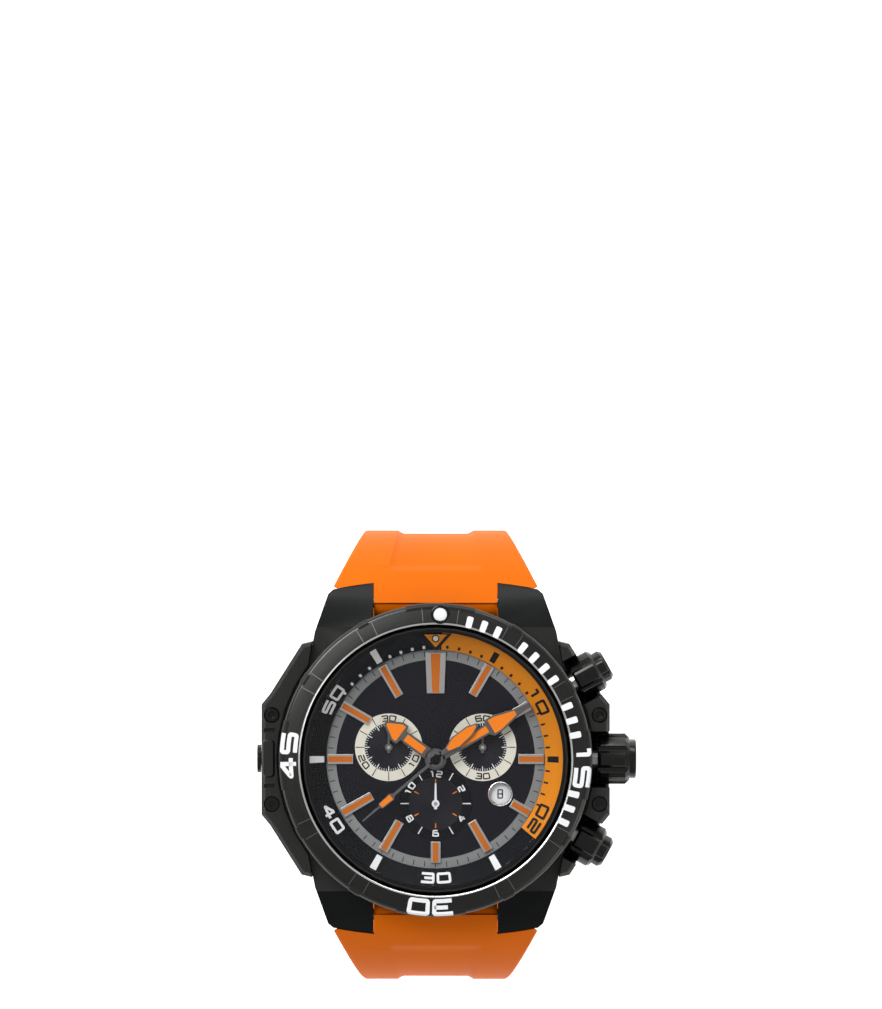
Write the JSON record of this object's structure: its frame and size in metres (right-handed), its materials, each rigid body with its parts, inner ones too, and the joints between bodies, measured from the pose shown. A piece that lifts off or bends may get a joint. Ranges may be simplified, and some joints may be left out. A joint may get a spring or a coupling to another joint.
{
  "type": "chronograph dive watch",
  "caption": "Large chronograph dive watch with a turning timing bezel, screw-guarded side buttons, side guard plates and a curled orange rubber strap with pin buckle.",
  "frame": {"origin": "centre of the case back's outer face, on the axis of the hands and bezel", "axes": "+Z out of the dial through the crystal, +Y towards 12 o'clock, +X towards 3 o'clock and the crown"},
  "size_m": [0.0607, 0.073, 0.0723],
  "materials": {
    "black_steel": "black plated stainless steel, satin to polished",
    "steel": "plain stainless steel, satin",
    "bright_steel": "polished",
    "glass": "clear mineral crystal, polished",
    "orange_rubber": "matte moulded silicone rubber",
    "black_rubber": "matte",
    "dial_black": "fine matte lacquer",
    "flange_black": "satin",
    "hand_grey": "satin grey with orange inlays",
    "hand_white": "matte white",
    "brass": "turned brass",
    "copper": "enamelled copper winding",
    "white_plastic": "moulded",
    "paper_white": "white"
  },
  "bodies": {
    "head": {"mid_case": "black_steel", "left_side_guard": "black_steel", "crown_guard": "black_steel", "guard_screw_1": "black_steel", "guard_screw_2": "black_steel", "guard_screw_3": "black_steel", "guard_screw_4": "black_steel", "case_back": "steel", "case_back_gasket": "black_rubber", "crystal": "glass", "crystal_gasket": "black_rubber", "flange_ring": "flange_black", "lug_bar_12": "steel", "lug_bar_6": "steel", "bezel_gasket": "black_rubber", "bezel_click_spring": "steel", "dial": "dial_black", "date_window_frame": "bright_steel", "movement_main_plate": "brass", "train_bridge": "steel", "movement_holder": "white_plastic", "battery": "steel", "battery_clamp": "steel", "motor_coil": "copper", "crown_tube": "steel", "pusher_tube_top": "steel", "pusher_tube_bottom": "steel", "pusher_spring_top": "steel", "pusher_spring_bottom": "steel"},
    "bezel": {"bezel": "black_steel", "bezel_pip": "paper_white"},
    "hour": {"hour_wheel": "brass", "hour_hand": "hand_grey"},
    "minute": {"cannon_pinion": "steel", "minute_hand": "hand_grey"},
    "motion_wheel": {"minute_wheel": "brass"},
    "date": {"date_ring": "paper_white"},
    "sweep": {"sweep_arbor": "steel", "sweep_seconds_hand": "hand_grey"},
    "seconds_subdial": {"seconds_subdial_hand": "hand_white", "seconds_subdial_arbor": "steel"},
    "minutes_subdial": {"minutes_subdial_hand": "hand_white", "minutes_subdial_arbor": "steel"},
    "hours_subdial": {"hours_subdial_hand": "hand_white", "hours_subdial_arbor": "steel"},
    "crown_seal": {"crown_gasket": "black_rubber"},
    "crown": {"crown": "black_steel", "winding_stem": "steel"},
    "pusher_top": {"pusher_top": "black_steel"},
    "pusher_bottom": {"pusher_bottom": "black_steel"},
    "collar_top": {"pusher_collar_top": "black_steel"},
    "collar_bottom": {"pusher_collar_bottom": "black_steel"},
    "relief_valve": {"relief_valve_cap": "black_steel"},
    "strap_12": {"strap_buckle_half": "orange_rubber", "keeper_fixed": "orange_rubber", "buckle_bar": "steel"},
    "sliding_keeper": {"keeper_sliding": "orange_rubber"},
    "buckle": {"buckle_frame": "black_steel"},
    "prong": {"buckle_prong": "black_steel"},
    "strap_6": {"strap_tail_half": "orange_rubber"}
  },
  "joints": [
    {"name": "bezel_turn", "type": "hinge", "parent": "head", "child": "bezel", "pos_m": [0, 0, 0.0118], "axis": [0, 0, 1], "continuous": true},
    {"name": "hour_hand_turn", "type": "hinge", "parent": "head", "child": "hour", "pos_m": [0, 0, 0.009], "axis": [0, 0, -1], "continuous": true},
    {"name": "minute_hand_turn", "type": "hinge", "parent": "head", "child": "minute", "pos_m": [0, 0, 0.0095], "axis": [0, 0, -1], "continuous": true},
    {"name": "motion_wheel_turn", "type": "hinge", "parent": "head", "child": "motion_wheel", "pos_m": [0, 0.004, 0.0072], "axis": [0, 0, -1], "continuous": true},
    {"name": "date_ring_turn", "type": "hinge", "parent": "head", "child": "date", "pos_m": [0, 0, 0.0076], "axis": [0, 0, -1], "continuous": true},
    {"name": "sweep_seconds_turn", "type": "hinge", "parent": "head", "child": "sweep", "pos_m": [0, 0, 0.01], "axis": [0, 0, -1], "continuous": true},
    {"name": "running_seconds_turn", "type": "hinge", "parent": "head", "child": "seconds_subdial", "pos_m": [-0.0075, 0.00188, 0.0088], "axis": [0, 0, -1], "continuous": true},
    {"name": "minute_counter_turn", "type": "hinge", "parent": "head", "child": "minutes_subdial", "pos_m": [0.0075, 0.00188, 0.0088], "axis": [0, 0, -1], "continuous": true},
    {"name": "hour_counter_turn", "type": "hinge", "parent": "head", "child": "hours_subdial", "pos_m": [0, -0.00712, 0.0088], "axis": [0, 0, -1], "continuous": true},
    {"name": "crown_pull", "type": "slide", "parent": "head", "child": "crown_seal", "axis": [1, 0, 0], "range_m": [0, 0.0015]},
    {"name": "crown_turn", "type": "hinge", "parent": "crown_seal", "child": "crown", "pos_m": [0.028, 0, 0.0061], "axis": [1, 0, 0], "continuous": true},
    {"name": "pusher_top_press", "type": "slide", "parent": "head", "child": "pusher_top", "axis": [-0.8746, -0.4848, 0], "range_m": [0, 0.001], "stiffness_N_per_m": 1500, "springref_m": -0.0003, "deforming": ["pusher_spring_top"]},
    {"name": "collar_top_unscrew", "type": "hinge", "parent": "head", "child": "collar_top", "pos_m": [0.02449, 0.01358, 0.0061], "axis": [0.8746, 0.4848, 0], "range_deg": [0, 360]},
    {"name": "pusher_bottom_press", "type": "slide", "parent": "head", "child": "pusher_bottom", "axis": [-0.8746, 0.4848, 0], "range_m": [0, 0.001], "stiffness_N_per_m": 1500, "springref_m": -0.0003, "deforming": ["pusher_spring_bottom"]},
    {"name": "collar_bottom_unscrew", "type": "hinge", "parent": "head", "child": "collar_bottom", "pos_m": [0.02449, -0.01358, 0.0061], "axis": [0.8746, -0.4848, 0], "range_deg": [0, 360]},
    {"name": "relief_valve_unscrew", "type": "hinge", "parent": "head", "child": "relief_valve", "pos_m": [-0.028, 0, 0.0061], "axis": [-1, 0, 0], "range_deg": [0, 360]},
    {"name": "strap_12_swing", "type": "hinge", "parent": "head", "child": "strap_12", "pos_m": [0, 0.025, 0.0046], "axis": [1, 0, 0], "range_deg": [0, 45]},
    {"name": "strap_6_swing", "type": "hinge", "parent": "head", "child": "strap_6", "pos_m": [0, -0.025, 0.0046], "axis": [-1, 0, 0], "range_deg": [0, 45]},
    {"name": "keeper_slide", "type": "slide", "parent": "strap_12", "child": "sliding_keeper", "axis": [0, 0.9659, 0.2588], "range_m": [0, 0.003]},
    {"name": "buckle_fold", "type": "hinge", "parent": "strap_12", "child": "buckle", "pos_m": [0, 0.00266, -0.03852], "axis": [-1, 0, 0], "range_deg": [0, 60]},
    {"name": "prong_lift", "type": "hinge", "parent": "strap_12", "child": "prong", "pos_m": [0, 0.00266, -0.03852], "axis": [1, 0, 0], "range_deg": [0, 60]}
  ],
  "couplings": [
    {"joint": "hour_hand_turn", "follows": "minute_hand_turn", "ratio": 0.083333},
    {"joint": "motion_wheel_turn", "follows": "minute_hand_turn", "ratio": -0.33333},
    {"joint": "date_ring_turn", "follows": "minute_hand_turn", "ratio": 0.0013441}
  ]
}
